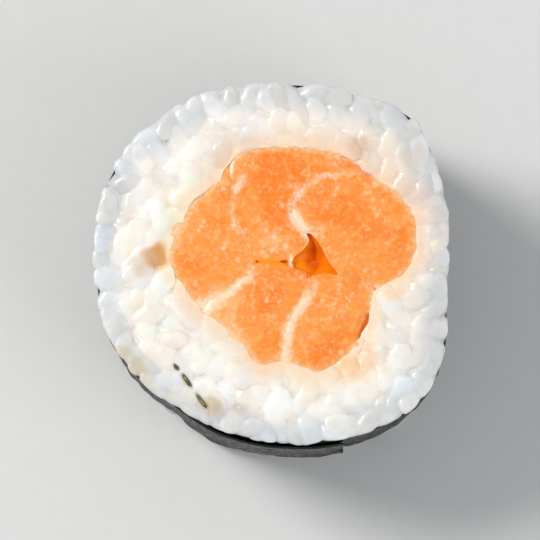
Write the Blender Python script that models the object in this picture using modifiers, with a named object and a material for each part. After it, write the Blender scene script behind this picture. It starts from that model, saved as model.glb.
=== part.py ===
"""One cut piece of a salmon maki roll, standing on its cut end.

A sheet of nori winds round a ring of sushi rice and overlaps itself, with its
first edge tucked into the rice. Five strips of raw salmon run through the
middle and leave a small gap where they meet. Rice grains show at both cut
faces.

Units are metres, +Z is up, and the origin is the centre of the roll's
footprint, on the surface that it stands on.
"""

import math
import random

import bmesh
import bpy
from mathutils import Euler, Matrix, Vector

MM = 0.001
WELD = 0.001 * MM

# ---- driving dimensions ----------------------------------------------------
ROLL_HEIGHT = 28.0 * MM
# Outline of the wrapped roll seen from above: direction in degrees, radius.
ROLL_OUTLINE = (
    (0, 16.3 * MM),
    (25, 17.3 * MM),
    (45, 18.7 * MM),
    (63, 17.4 * MM),
    (90, 16.5 * MM),
    (118, 16.7 * MM),
    (148, 16.7 * MM),
    (180, 16.0 * MM),
    (210, 16.1 * MM),
    (240, 15.7 * MM),
    (268, 16.3 * MM),
    (294, 17.5 * MM),
    (318, 18.7 * MM),
    (333, 17.9 * MM),
    (346, 16.8 * MM),
)

OUTLINE_STEP = 5

# Nori: one sheet, from its tucked edge round to its free edge.
NORI_THICKNESS = 0.3 * MM
NORI_TOP = ROLL_HEIGHT - 1.1 * MM
NORI_FOOT = 0.4 * MM
NORI_WAVE = 0.12 * MM
NORI_TUCK_START = 224.0
NORI_TUCK_END = 264.0
NORI_TUCK_DEPTH = 3.0 * MM
NORI_LAP_START = 594.0
NORI_LAP_RISE = 20.0
NORI_END = 652.0
NORI_LAP_GAP = 0.2 * MM
NORI_STEP = 4.0

# Salmon: five strips round a small gap.
SALMON_TOP = ROLL_HEIGHT - 0.5 * MM
SALMON_EDGE = 0.5 * MM
SALMON_EDGE_STEPS = 2
SALMON_EDGE_ANGLE = 60.0
HUB = Vector((4.0, 0.6)) * MM
# Outline of the five strips together, about HUB.
BUNDLE_OUTLINE = (
    (0, 9.2 * MM),
    (18, 10.2 * MM),
    (50, 9.9 * MM),
    (80, 10.1 * MM),
    (105, 10.7 * MM),
    (125, 11.9 * MM),
    (145, 11.8 * MM),
    (165, 13.1 * MM),
    (182, 13.4 * MM),
    (205, 11.3 * MM),
    (224, 10.4 * MM),
    (240, 10.7 * MM),
    (254, 10.1 * MM),
    (270, 10.6 * MM),
    (285, 10.1 * MM),
    (305, 8.1 * MM),
    (330, 6.6 * MM),
    (345, 7.9 * MM),
)
# Each seam runs from the gap outwards. It gives its points in millimetres from
# the roll's axis and the direction, about HUB, in which it meets the outline.
SEAMS = (
    (((5.5, -0.5), (7.4, -1.6)), 337.0),
    (((4.2, 2.3), (2.1, 4.0), (2.5, 6.6), (5.6, 8.2)), 56.0),
    (((-1.4, 0.3), (-2.8, 3.3), (-3.6, 5.6)), 127.0),
    (((-1.4, 0.1), (-2.4, -1.5), (-4.2, -2.7)), 204.0),
    (((3.7, -0.9), (2.7, -3.4), (1.5, -6.0)), 253.0),
)
# Corners of the gap between one seam's start and the next one's.
GAP_CORNERS = ((), ((3.4, 1.3), (2.1, 0.2)), (), ((2.3, -0.1),), ())
STRIP_GAP = 0.34 * MM
STRIP_SPACING = 0.7 * MM
STRIP_ROUNDING = 2

# Rice: a core, with whole grains fused on at both cut faces.
CLEARANCE = 0.3 * MM
CORE_FOOT = 0.8 * MM
CORE_TOP = ROLL_HEIGHT - 1.7 * MM
GRAIN_LENGTH = 4.9 * MM
GRAIN_WIDTH = 2.4 * MM
GRAIN_THICKNESS = 2.1 * MM
GRAIN_SEGMENTS = 6
GRAIN_RINGS = 4
LENGTH_RANGE = (0.86, 1.08)
TAPER_RANGE = (0.05, 0.18)
BEND_RANGE = (-0.10, 0.10)
# Heights of the grains' middles at the two faces, and how far they stray.
TOP_LAYER = ROLL_HEIGHT - 1.5 * MM
FOOT_LAYER = 1.0 * MM
LAYER_SPREAD = 0.3 * MM
# Least distance between the middles of two grains.
TOP_SPACING = 1.95 * MM
FOOT_SPACING = 2.4 * MM
FROM_OUTLINE = 1.0 * MM
FROM_SALMON = 0.8 * MM
TILT = 24.0
ROLL = 40.0
TRIES = 4000
SEED = 7
# How far grains may hang over the nori's cut edge, past its outside.
OVERHANG = 0.25 * MM
# How far the cutters run past the rice's two faces.
OVERSHOOT = 5.0 * MM

RICE_COLOUR = (0.86, 0.83, 0.77, 1.0)
SALMON_COLOUR = (0.95, 0.33, 0.10, 1.0)
NORI_COLOUR = (0.010, 0.014, 0.009, 1.0)


# ---- small helpers ---------------------------------------------------------
def clear_scene():
    for thing in list(bpy.data.objects):
        bpy.data.objects.remove(thing)


def collection_named(name):
    made = bpy.data.collections.new(name)
    bpy.context.scene.collection.children.link(made)
    return made


def food_material(name, colour, roughness):
    made = bpy.data.materials.new(name)
    made.use_nodes = True
    shader = made.node_tree.nodes["Principled BSDF"]
    shader.inputs["Base Color"].default_value = colour
    shader.inputs["Roughness"].default_value = roughness
    shader.inputs["Metallic"].default_value = 0.0
    return made


def smoothstep(value):
    value = min(max(value, 0.0), 1.0)
    return value**2 * (3 - 2 * value)


def catmull(p0, p1, p2, p3, t):
    """A point between p1 and p2 on the smooth curve through all four."""
    return 0.5 * (
        2 * p1
        + (p2 - p0) * t
        + (2 * p0 - 5 * p1 + 4 * p2 - p3) * t**2
        + (3 * p1 - p0 - 3 * p2 + p3) * t**3
    )


def outline_radius(outline, degrees):
    """Radius of a closed outline in one direction, read from a smooth curve."""
    count = len(outline)
    turned = degrees % 360
    after = next((i for i, (a, _) in enumerate(outline) if a > turned), count)
    known = [
        (outline[i % count][0] + 360 * (i // count), outline[i % count][1])
        for i in range(after - 2, after + 2)
    ]
    t = (turned - known[1][0]) / (known[2][0] - known[1][0])
    return catmull(*(radius for _, radius in known), t)


def polar(degrees, radius, centre=Vector((0, 0))):
    turned = math.radians(degrees)
    return centre + Vector((math.cos(turned), math.sin(turned))) * radius


def bundle_point(degrees):
    return polar(degrees, outline_radius(BUNDLE_OUTLINE, degrees), HUB)


# ---- plane outlines --------------------------------------------------------
def resampled(points, spacing):
    """The closed line through points, with about even steps."""
    closed = points + [points[0]]
    lengths = [(b - a).length for a, b in zip(closed, closed[1:])]
    total = sum(lengths)
    count = round(total / spacing)
    out, index, passed = [], 0, 0.0
    for i in range(count):
        target = total * i / count
        while passed + lengths[index] < target:
            passed += lengths[index]
            index += 1
        t = (target - passed) / lengths[index]
        out.append(closed[index].lerp(closed[index + 1], t))
    return out


def rounded(points, passes):
    """The same closed line with its corners eased."""
    for _ in range(passes):
        count = len(points)
        points = [
            (points[i - 1] + points[i] * 2 + points[(i + 1) % count]) / 4
            for i in range(count)
        ]
    return points


def offset(points, distance):
    """A closed counter-clockwise line moved outwards by distance."""
    count = len(points)
    out = []
    for i, point in enumerate(points):
        along = (points[(i + 1) % count] - points[i - 1]).normalized()
        out.append(point + Vector((along.y, -along.x)) * distance)
    return out


def seam_line(seam, samples=5):
    """A seam's points from the gap to the bundle's outline, as a smooth line."""
    knots = [Vector(p) * MM for p in seam[0]] + [bundle_point(seam[1])]
    ends = [knots[0] * 2 - knots[1], *knots, knots[-1] * 2 - knots[-2]]
    line = []
    for i in range(len(knots) - 1):
        line += [catmull(*ends[i : i + 4], s / samples) for s in range(samples)]
    return line + [knots[-1]]


def strip_outline(index):
    """One salmon strip: out along a seam, round the bundle, back to the gap."""
    here, after = SEAMS[index], SEAMS[(index + 1) % len(SEAMS)]
    sweep = (after[1] - here[1]) % 360
    steps = round(sweep / OUTLINE_STEP)
    arc = [bundle_point(here[1] + sweep * i / steps) for i in range(1, steps)]
    gap = [Vector(p) * MM for p in reversed(GAP_CORNERS[index])]
    line = seam_line(here) + arc + seam_line(after)[::-1] + gap
    even = rounded(resampled(line, STRIP_SPACING), STRIP_ROUNDING)
    return offset(even, -STRIP_GAP / 2)


def bundle_outline(distance):
    """The five strips' common outline, moved outwards by distance."""
    ring = [bundle_point(degrees) for degrees in range(0, 360, OUTLINE_STEP)]
    return offset(ring, distance)


def roll_outline(distance):
    """The roll's outline, moved outwards by distance."""
    ring = [
        polar(degrees, outline_radius(ROLL_OUTLINE, degrees))
        for degrees in range(0, 360, OUTLINE_STEP)
    ]
    return offset(ring, distance)


# ---- solids ----------------------------------------------------------------
def curve_mesh(name, points, foot, top, cyclic=True):
    """An extruded plane line as a mesh: a capped prism, or an open ribbon."""
    curve = bpy.data.curves.new(name, "CURVE")
    curve.dimensions = "2D" if cyclic else "3D"
    if cyclic:
        curve.fill_mode = "BOTH"
    curve.extrude = (top - foot) / 2
    spline = curve.splines.new("POLY")
    spline.points.add(len(points) - 1)
    for knot, point in zip(spline.points, points):
        knot.co = (point.x, point.y, 0, 1)
    spline.use_cyclic_u = cyclic
    guide = bpy.data.objects.new(name + "_line", curve)
    bpy.context.scene.collection.objects.link(guide)
    bpy.context.view_layer.update()
    graph = bpy.context.evaluated_depsgraph_get()
    mesh = bpy.data.meshes.new_from_object(guide.evaluated_get(graph))
    bpy.data.objects.remove(guide)
    bpy.data.curves.remove(curve)
    mesh.name = name
    mesh.transform(Matrix.Translation((0, 0, (top + foot) / 2)))
    shape = bmesh.new()
    shape.from_mesh(mesh)
    bmesh.ops.remove_doubles(shape, verts=shape.verts, dist=WELD)
    bmesh.ops.recalc_face_normals(shape, faces=shape.faces)
    shape.to_mesh(mesh)
    shape.free()
    return mesh


def solid(name, mesh, where, material=None):
    made = bpy.data.objects.new(name, mesh)
    where.objects.link(made)
    if material:
        mesh.materials.clear()
        mesh.materials.append(material)
    return made


def hidden(thing):
    """Marks a cutter, which is a guide and not part of the roll."""
    thing.hide_render = True
    thing.display_type = "WIRE"
    return thing


def apply_modifiers(thing):
    graph = bpy.context.evaluated_depsgraph_get()
    mesh = bpy.data.meshes.new_from_object(thing.evaluated_get(graph))
    thing.modifiers.clear()
    thing.data = mesh


def remove_objects(where):
    for thing in list(where.objects):
        bpy.data.objects.remove(thing)


# ---- nori ------------------------------------------------------------------
def nori_point(degrees):
    """The middle of the sheet's thickness, from tucked edge to free edge."""
    radius = outline_radius(ROLL_OUTLINE, degrees) - NORI_THICKNESS / 2
    tucked = 1 - (degrees - NORI_TUCK_START) / (NORI_TUCK_END - NORI_TUCK_START)
    radius -= NORI_TUCK_DEPTH * smoothstep(tucked)
    lapped = smoothstep((degrees - NORI_LAP_START) / NORI_LAP_RISE)
    return polar(degrees, radius + (NORI_THICKNESS + NORI_LAP_GAP) * lapped)


def nori_wave(point):
    """How far the cut edge wanders up and down round the roll."""
    turned = math.atan2(point.y, point.x)
    return NORI_WAVE * (math.sin(3 * turned + 0.6) + 0.6 * math.sin(7 * turned))


def nori_ribbon(name, foot, top):
    steps = round((NORI_END - NORI_TUCK_START) / NORI_STEP)
    path = [
        nori_point(NORI_TUCK_START + (NORI_END - NORI_TUCK_START) * i / steps)
        for i in range(steps + 1)
    ]
    mesh = curve_mesh(name, path, foot, top, cyclic=False)
    middle = (foot + top) / 2
    for vertex in mesh.vertices:
        if vertex.co.z > middle:
            vertex.co.z += nori_wave(vertex.co)
    return mesh


def thickened(thing, thickness):
    shell = thing.modifiers.new("thickness", "SOLIDIFY")
    shell.thickness = thickness
    shell.offset = 0.0
    shell.use_even_offset = True


def make_nori(where):
    sheet = nori_ribbon("nori", NORI_FOOT, NORI_TOP)
    made = solid("nori", sheet, where, food_material("nori", NORI_COLOUR, 0.45))
    thickened(made, NORI_THICKNESS)


# ---- salmon ----------------------------------------------------------------
def make_salmon(where):
    flesh = food_material("salmon", SALMON_COLOUR, 0.28)
    for index in range(len(SEAMS)):
        name = f"salmon_strip_{index + 1}"
        mesh = curve_mesh(name, strip_outline(index), 0.0, SALMON_TOP)
        strip = solid(name, mesh, where, flesh)
        edge = strip.modifiers.new("soft_edges", "BEVEL")
        edge.width = SALMON_EDGE
        edge.segments = SALMON_EDGE_STEPS
        edge.limit_method = "ANGLE"
        edge.angle_limit = math.radians(SALMON_EDGE_ANGLE)


# ---- rice ------------------------------------------------------------------
def grain_mesh(draw):
    """A plump grain: an ellipsoid, thinner at one end and slightly bent."""
    shape = bmesh.new()
    bmesh.ops.create_uvsphere(
        shape, u_segments=GRAIN_SEGMENTS, v_segments=GRAIN_RINGS, radius=1.0
    )
    length = GRAIN_LENGTH * draw.uniform(*LENGTH_RANGE)
    taper = draw.uniform(*TAPER_RANGE)
    bend = draw.uniform(*BEND_RANGE)
    for vertex in shape.verts:
        across, thick, along = vertex.co
        slim = 1 - taper * along
        vertex.co = (
            along * length / 2,
            (across * slim / 2 + bend * along**2) * GRAIN_WIDTH,
            thick * slim * GRAIN_THICKNESS / 2,
        )
    mesh = bpy.data.meshes.new("grain")
    bmesh.ops.recalc_face_normals(shape, faces=shape.faces)
    shape.to_mesh(mesh)
    shape.free()
    return mesh


def direction(point):
    return math.degrees(math.atan2(point.y, point.x))


def in_ring(point):
    """Whether a grain can lie here, between the salmon and the nori."""
    outer = outline_radius(ROLL_OUTLINE, direction(point)) - FROM_OUTLINE
    inner = outline_radius(BUNDLE_OUTLINE, direction(point - HUB)) + FROM_SALMON
    return point.length < outer and (point - HUB).length > inner


def scattered(draw, spacing):
    """Places for one layer of grains, no two nearer than the spacing."""
    reach = max(radius for _, radius in ROLL_OUTLINE)
    places = []
    for _ in range(TRIES):
        spot = Vector((draw.uniform(-reach, reach), draw.uniform(-reach, reach)))
        alone = all((spot - other).length > spacing for other in places)
        if alone and in_ring(spot):
            places.append(spot)
    return places


def lay_grains(where, draw, height, spacing):
    """One layer of grains whose middles lie near one height."""
    for spot in scattered(draw, spacing):
        grain = bpy.data.objects.new("grain", grain_mesh(draw))
        where.objects.link(grain)
        rise = draw.uniform(-LAYER_SPREAD, LAYER_SPREAD)
        grain.location = (spot.x, spot.y, height + rise)
        tilt = math.radians(draw.gauss(0, TILT))
        roll = math.radians(draw.uniform(-ROLL, ROLL))
        grain.rotation_euler = Euler((roll, tilt, draw.uniform(0, math.pi)), "XYZ")
        hidden(grain)


def largest_body(thing):
    """Drops loose scraps, and fills sealed hollows by dropping their walls."""
    shape = bmesh.new()
    shape.from_mesh(thing.data)
    left = set(shape.faces)
    bodies = []
    while left:
        start = left.pop()
        body = [start]
        for face in body:
            near = {f for side in face.edges for f in side.link_faces} & left
            left -= near
            body += near
        bodies.append(body)
    bodies.sort(key=len)
    scraps = [face for body in bodies[:-1] for face in body]
    bmesh.ops.delete(shape, geom=scraps, context="FACES")
    shape.to_mesh(thing.data)
    shape.free()


def join_all(thing, operation, where):
    """One Boolean with everything in a collection, applied."""
    joint = thing.modifiers.new(operation, "BOOLEAN")
    joint.operation = operation
    joint.operand_type = "COLLECTION"
    joint.collection = where
    joint.solver = "EXACT"
    bpy.context.view_layer.update()
    apply_modifiers(thing)
    remove_objects(where)


def make_rice(where):
    draw = random.Random(SEED)
    inside = roll_outline(-NORI_THICKNESS - CLEARANCE)
    core = curve_mesh("rice", inside, CORE_FOOT, CORE_TOP)
    rice = solid("rice", core, where, food_material("rice", RICE_COLOUR, 0.35))

    grains = collection_named("rice_grains")
    lay_grains(grains, draw, TOP_LAYER, TOP_SPACING)
    lay_grains(grains, draw, FOOT_LAYER, FOOT_SPACING)
    join_all(rice, "UNION", grains)

    bounds = collection_named("rice_bounds")
    over = ROLL_HEIGHT + OVERSHOOT
    space = curve_mesh("roll_space", roll_outline(OVERHANG), 0.0, over)
    hidden(solid("roll_space", space, bounds))
    join_all(rice, "INTERSECT", bounds)

    cutters = collection_named("rice_cutters")
    middle = curve_mesh("salmon_room", bundle_outline(CLEARANCE / 2), -OVERSHOOT, over)
    hidden(solid("salmon_room", middle, cutters))
    slot = nori_ribbon("nori_room", -OVERSHOOT, NORI_TOP + CLEARANCE)
    wide = hidden(solid("nori_room", slot, cutters))
    thickened(wide, NORI_THICKNESS + 2 * CLEARANCE)
    join_all(rice, "DIFFERENCE", cutters)
    largest_body(rice)


def centre_on_origin(where):
    """Moves every piece so that the footprint's middle is at the origin."""
    bpy.context.view_layer.update()
    graph = bpy.context.evaluated_depsgraph_get()
    corners = [
        thing.evaluated_get(graph).matrix_world @ Vector(corner)
        for thing in where.objects
        for corner in thing.evaluated_get(graph).bound_box
    ]
    middle = Vector(
        (min(c[axis] for c in corners) + max(c[axis] for c in corners)) / 2
        for axis in range(2)
    )
    for thing in where.objects:
        thing.location -= middle.to_3d()


def main():
    clear_scene()
    roll = collection_named("salmon_maki_roll")
    make_nori(roll)
    make_rice(roll)
    make_salmon(roll)
    centre_on_origin(roll)


main()
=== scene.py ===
"""Looks of one cut piece of salmon maki roll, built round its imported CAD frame.

The rice is modelled grain by grain at both cut faces, the salmon strips get a
soft, speckled and moist flesh, and the nori becomes a thin wrinkled sheet.
"""

import itertools
import math

import bmesh
import bpy
import numpy as np
from mathutils import Matrix, Vector, kdtree


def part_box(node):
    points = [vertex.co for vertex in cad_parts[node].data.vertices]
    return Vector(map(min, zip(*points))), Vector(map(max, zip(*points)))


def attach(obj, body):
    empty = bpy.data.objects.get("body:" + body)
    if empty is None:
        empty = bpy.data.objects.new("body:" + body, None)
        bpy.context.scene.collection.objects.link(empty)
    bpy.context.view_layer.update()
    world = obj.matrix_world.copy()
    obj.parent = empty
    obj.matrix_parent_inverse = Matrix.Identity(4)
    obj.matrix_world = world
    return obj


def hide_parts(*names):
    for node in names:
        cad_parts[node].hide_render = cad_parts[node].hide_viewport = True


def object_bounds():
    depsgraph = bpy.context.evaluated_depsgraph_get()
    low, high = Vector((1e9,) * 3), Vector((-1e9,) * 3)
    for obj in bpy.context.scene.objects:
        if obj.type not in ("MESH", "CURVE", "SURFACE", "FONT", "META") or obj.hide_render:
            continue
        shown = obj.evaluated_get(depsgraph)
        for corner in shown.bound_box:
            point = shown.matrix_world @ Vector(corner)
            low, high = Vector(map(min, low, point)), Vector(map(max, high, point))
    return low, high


MM = 0.001
SEED = 5

# ---- the roll's plan, in millimetres from its axis --------------------------
# Outline of the wrapped roll seen from above, as the solids have it: direction in
# degrees, radius.
ROLL_OUTLINE = (
    (0, 16.3),
    (25, 17.3),
    (45, 18.7),
    (63, 17.4),
    (90, 16.5),
    (118, 16.7),
    (148, 16.7),
    (180, 16.0),
    (210, 16.1),
    (240, 15.7),
    (268, 16.3),
    (294, 17.5),
    (318, 18.7),
    (333, 17.9),
    (346, 16.8),
)
ROLL_RADIUS = ROLL_OUTLINE[0][1]
# The salmon's hub, and the outline of its five strips together about it.
HUB = np.array((4.0, 0.6))
BUNDLE_OUTLINE = (
    (0, 9.2),
    (18, 10.2),
    (50, 9.9),
    (80, 10.1),
    (105, 10.7),
    (125, 11.9),
    (145, 11.8),
    (165, 13.1),
    (182, 13.4),
    (205, 11.3),
    (224, 10.4),
    (240, 10.7),
    (254, 10.1),
    (270, 10.6),
    (285, 10.1),
    (305, 8.1),
    (330, 6.6),
    (345, 7.9),
)

# ---- nori, in millimetres and degrees along the sheet ------------------------
NORI_THICKNESS = 0.3
NORI_TUCK_START = 224.0
NORI_TUCK_END = 264.0
NORI_TUCK_DEPTH = 3.0
NORI_LAP_START = 594.0
NORI_LAP_RISE = 20.0
NORI_END = 652.0
NORI_LAP_GAP = 0.2
NORI_CELL = 0.3
NORI_SHEET = 0.2
NORI_DENT = 0.2
NORI_WRINKLE = 0.09
# How far the sheet's upper and lower edges stay inside the solid's, and how much
# lower the upper one is at the back.
NORI_TOP_DROP = 0.3
NORI_FOOT_LIFT = 0.12
NORI_TOP_LEAN = 0.12
# The last degrees of the sheet, over which its free edge wanders.
NORI_LOOSE = 14.0
# Where the tucked edge shows between the grains: place and reach, in millimetres.
TUCK_SIGHTS = (((-8.5, -9.5), 0.35), ((-7.5, -10.7), 0.75), ((-6.1, -12.5), 0.8))
# There it rises this far, and the grains part over it: half width and depth.
TUCK_RISE = 0.65
TUCK_GAP = 0.15
TUCK_GAP_DEPTH = 1.2

# ---- rice -------------------------------------------------------------------
GRAIN_LENGTH = 4.6
GRAIN_WIDTH = 2.2
GRAIN_THICKNESS = 2.0
GRAIN_SQUARENESS = 2.3
# Shares of its size by which a grain varies and bends.
GRAIN_VARY = (0.86, 1.1)
GRAIN_BEND = 0.12
GRAIN_TILT = 30.0
MOST_TILT = 36.0
# Layers of grains under a cut face: depth of their middles, its spread, spacing.
GRAIN_LAYERS = ((1.25, 0.25, 1.55), (1.9, 0.3, 1.7))
# The row along the nori: how far in it lies, and how far its grains stray along
# it, as a share of their spacing.
BORDER_ROW_DEPTHS = (0.6, 1.1)
BORDER_ROW_STRAY = 0.2
# The other grains of a layer: places tried, how far out, and how far their
# middles stay from nori and salmon.
SCATTER_TRIES = 9000
SCATTER_REACH = 19.0
SCATTER_ROOM = 0.45
# Radius of a grain's round tip, and how far the middles of the tips stay inside
# the roll's outline and outside the salmon's.
GRAIN_TIP = 0.7
RIM_ROOM = 0.3
SALMON_ROOM = -0.3
# How much higher the grains beside the salmon lie, and how far from it that fades.
GRAIN_RAISE = 0.25
GRAIN_RAISE_REACH = 1.4
# Where the border leaves the salmon's outline: direction from HUB, half width in
# degrees, and how far the rice laps over the salmon. Below nothing, the salmon
# pushes into the rice instead.
BORDER_LOBES = (
    (52, 12, 0.5),
    (141, 9, 0.3),
    (168, 10, 0.5),
    (206, 8, -0.4),
    (245, 8, -0.6),
    (275, 8, -0.2),
    (306, 10, -0.5),
    (354, 12, -0.5),
)
RICE_VOXEL = 0.14
RICE_SMOOTHING = 4
# Relief on the grains, then the creases between them: depth, and half width as a
# share of a grain's half size.
GRAIN_RELIEF = 0.05
CREASE_DEPTH = 0.04
CREASE_WIDTH = 0.14
# The knife pressed what stood over this depth under the roll's top into this
# much room.
PRESS_DEPTH = 1.1
PRESS_ROOM = 0.7
# Beside the salmon it pressed the grains nearly level with it: how far out, by
# what share, and down to how far over the salmon.
SALMON_PRESS_REACH = 1.1
SALMON_PRESS_SHARE = 0.55
SALMON_PRESS_LEVEL = 0.03
# How much the board flattened the lower face.
FOOT_PRESS = 0.42
# The rice stays this far inside the nori and outside the salmon. Over their edges
# it spills unevenly, and over the nori more towards the back left.
NORI_ROOM = 0.15
SALMON_GAP = 0.02
SPILL_UNEVEN = 0.15
SPILL_LEAN = 0.15
# The room in which it softly meets nori and salmon, and how much more that is
# above their edges.
NORI_SOFTNESS = (0.05, 0.55)
SALMON_SOFTNESS = (0.05, 0.3)
# Plain rings that fill the gaps under the grains: foot and top from the roll's
# top, then how far inside the roll's outline and outside the salmon's.
RICE_FILLINGS = ((4.3, 0.95, 0.4, -0.2), (4.3, 1.3, 0.05, -0.7))
# The ring that laps over the salmon's border: foot from the roll's top, top from
# the salmon's, then how far outside the salmon's outline it starts and ends.
LAP_RING = (3.0, 0.16, 0.5, -1.2)
# The plain core: foot, top from the roll's top, how far inside the roll's outline
# and outside the salmon's, and its shade.
CORE_RING = (2.2, 2.6, 0.75, -0.5)
CORE_SHADE = 0.82
# Faces this far under the roll's top are hidden, and are merged until this share
# of all faces is left.
RICE_HIDDEN_DEPTH = 2.5
RICE_KEPT = 0.64
# How far in from the rim the rice is grey, and over how much that fades. Then how
# far out from the salmon its orange is painted on the rice as a reflection, and how
# much that varies.
RIM_WIDTH = 3.5
RIM_FADE = 2.8
REFLECTION_REACH = (1.8, 0.5)
EDGE_REFLECTION_REACH = (0.75, 0.35)
# Rice colours: grey rim, white, and the salmon's orange painted on as a reflection.
RIM_GREY = np.array((0.69, 0.70, 0.70))
RICE_WHITE = np.array((0.905, 0.865, 0.815))
SALMON_REFLECTION = np.array((1.0, 0.79, 0.64))
SALMON_EDGE_REFLECTION = np.array((1.0, 0.66, 0.42))
# Patches painted on the rice: place and size in millimetres, then colour and strength.
RICE_PATCHES = (
    # Painted shade of recesses between grains, warm and tan: this patch and the next.
    ((-10.3, 0.7), 1.0, (0.72, 0.36, 0.13), 1.0),
    ((-11.6, 0.2), 1.3, (0.68, 0.52, 0.36), 0.5),
    ((7.4, -9.9), 1.3, (1.0, 0.56, 0.28), 0.8),
    ((9.0, -8.8), 1.5, (1.0, 0.62, 0.36), 0.6),
    ((11.5, -2.4), 1.0, (0.98, 0.68, 0.48), 0.6),
    ((13.6, 6.3), 1.3, (0.72, 0.55, 0.50), 0.5),
    ((13.0, 9.6), 1.2, (0.66, 0.56, 0.52), 0.5),
    # Painted shade of a recess between grains, warm and tan.
    ((8.5, 10.9), 1.1, (0.70, 0.50, 0.34), 0.7),
    ((-5.4, -13.3), 0.9, (0.60, 0.46, 0.30), 0.7),
    ((-2.9, -13.4), 0.9, (0.60, 0.54, 0.46), 0.6),
    ((-13.1, -8.3), 1.0, (0.62, 0.53, 0.36), 0.7),
    ((-12.1, -9.8), 1.0, (0.62, 0.53, 0.36), 0.7),
    ((-11.0, -11.0), 0.9, (0.62, 0.53, 0.36), 0.6),
    ((-11.4, -4.6), 1.6, (0.80, 0.72, 0.58), 0.4),
)

# ---- salmon -----------------------------------------------------------------
SALMON_NODES = tuple(f"salmon_strip_{number}" for number in range(1, 6))
SALMON_VOXEL = 0.15
SALMON_SMOOTHING = 3
# The strips meet: how far inside its strip's wall each place ends up, the half
# gap past which the strip dips under its neighbour, and how steeply.
EDGE_INSETS = ((0.0, -0.6), (0.5, -0.45), (1.8, 1.8), (99.0, 99.0))
HALF_GAP = 0.17
DIP_SLOPE = 0.3
# How much higher the middle of a strip is, and how far in from its wall.
SALMON_CROWN = 0.10
CROWN_REACH = 1.6
# Relief on the cut: height, size and seed.
FLESH_RELIEF = ((0.07, 3.2, 40), (0.04, 1.1, 50), (0.03, 0.45, 51))
# How uneven a strip's wall is, and how far in from it the flesh moves with it.
WALL_UNEVEN = 0.03
WALL_REACH = 0.6
# How far in from the rice the flesh is smeared pale, and moves with the border.
SMEAR_REACH = 0.8
BORDER_REACH = 1.6
# The knife leaves the strips' edges nearly flat: how far down each depth goes.
EDGE_DEPTHS = ((0.0, 0.0), (0.5, 0.07), (1.3, 1.3), (99.0, 99.0))
# The gap between the strips: its line, the stretch where its painted shade is darkest,
# its half width, and how softly that ends.
GAP_LINE = ((2.7, 0.5), (4.1, 0.6), (4.2, 1.8), (4.1, 0.6), (5.1, -0.4))
GAP_SHADE_CORE = ((4.0, 0.3), (4.1, 0.9))
GAP_HALF_WIDTH = 0.9
GAP_EASE = 1.2
# It closes between these depths: how far its walls come in, and how far from its
# line they do.
GAP_DEPTHS = (0.4, 3.0)
GAP_CLOSING = 1.5
GAP_REACH = 3.0
# The crack left of the gap, the stretch of it that shows, painted with the deep orange
# of the light within it, and its half width.
# Then how far its walls come in deeper down, and how far from its line they do.
CRACK_LINE = ((-1.6, 0.1), (3.0, 0.15))
CRACK_SIGHT = ((-0.9, 0.1), (1.45, 0.05))
CRACK_HALF_WIDTH = 0.45
CRACK_CLOSING = 0.7
CRACK_REACH = 2.0
# Where flesh bridges the crack.
BRIDGE = ((1.87, 0.4), (1.85, -0.2))
BRIDGE_HALF_WIDTH = 0.3
# The notch at the lower right: a dent, painted dark as its shade.
NOTCH_LINE = ((9.1, -5.0), (8.5, -6.5))
NOTCH_HALF_WIDTH = 0.46
NOTCH_DEPTH = 0.35
# The fold at the upper right, where its shade is painted deep orange.
FOLD_SHADE_LINE = ((7.3, 9.1), (8.4, 8.7), (9.1, 8.0))
FOLD_SHADE_HALF_WIDTH = 0.3
# Across the second strip's thin end, where it is too thin to swell.
THIN_STRIP = 1
THIN_END = ((7.3, 8.4), (7.3, 9.8))
THIN_END_REACH = 0.9
# Faces this far from both cuts are merged until this share of all is left.
SALMON_HIDDEN_DEPTH = 3.6
SALMON_KEPT = 0.5
# Pale fat lines at the cut: width, then each point's place and strength.
FAT_LINES = (
    (0.3, ((5.7, -0.6, 0.1), (7.4, -1.7, 0.3), (8.8, -1.9, 0.4), (10.2, -2.0, 0.3))),
    (0.6, ((3.6, 2.5, 0.8), (2.3, 4.0, 1.2), (2.0, 5.2, 0.4), (2.7, 6.4, 0.8), (3.3, 7.2, 0.5))),
    (0.5, ((3.0, 3.3, 0.6), (4.8, 3.2, 0.4))),
    (0.4, ((3.3, 7.2, 0.5), (4.5, 8.0, 0.6), (5.7, 8.2, 0.5), (8.2, 8.2, 0.4))),
    (0.45, ((-1.6, 0.8, 0.3), (-2.3, 2.4, 0.5), (-3.3, 3.8, 0.7), (-3.4, 5.0, 0.6))),
    (0.45, ((-3.4, 5.0, 0.6), (-3.2, 5.9, 0.4), (-3.1, 6.9, 1.0), (-2.3, 8.1, 0.7))),
    (0.5, ((-1.7, -0.1, 0.7), (-1.8, -1.2, 0.9), (-3.1, -2.2, 1.0), (-4.3, -3.0, 0.8))),
    (0.8, ((-4.3, -3.0, 0.7), (-6.4, -3.9, 0.9))),
    (0.6, ((4.1, -2.0, 0.6), (3.5, -3.0, 1.0), (1.9, -5.6, 1.1), (1.4, -9.2, 1.0))),
    (0.2, ((1.9, 0.8, 0.9), (1.85, -0.2, 1.1))),
    (0.14, ((-1.5, -1.4, 0.5), (-1.6, -3.0, 0.4), (-1.5, -5.0, 0.4))),
    (0.5, ((12.4, 6.2, 0.5), (13.9, 3.6, 0.5))),
)
# Where the flesh is thick with pale specks, partly painted highlights: place and size.
SPECK_AND_HIGHLIGHT_AREAS = (((-4.9, 1.4), 1.7), ((0.5, 1.6), 1.4), ((2.6, 4.2), 0.9), ((6.8, -3.4), 2.2))
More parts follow.
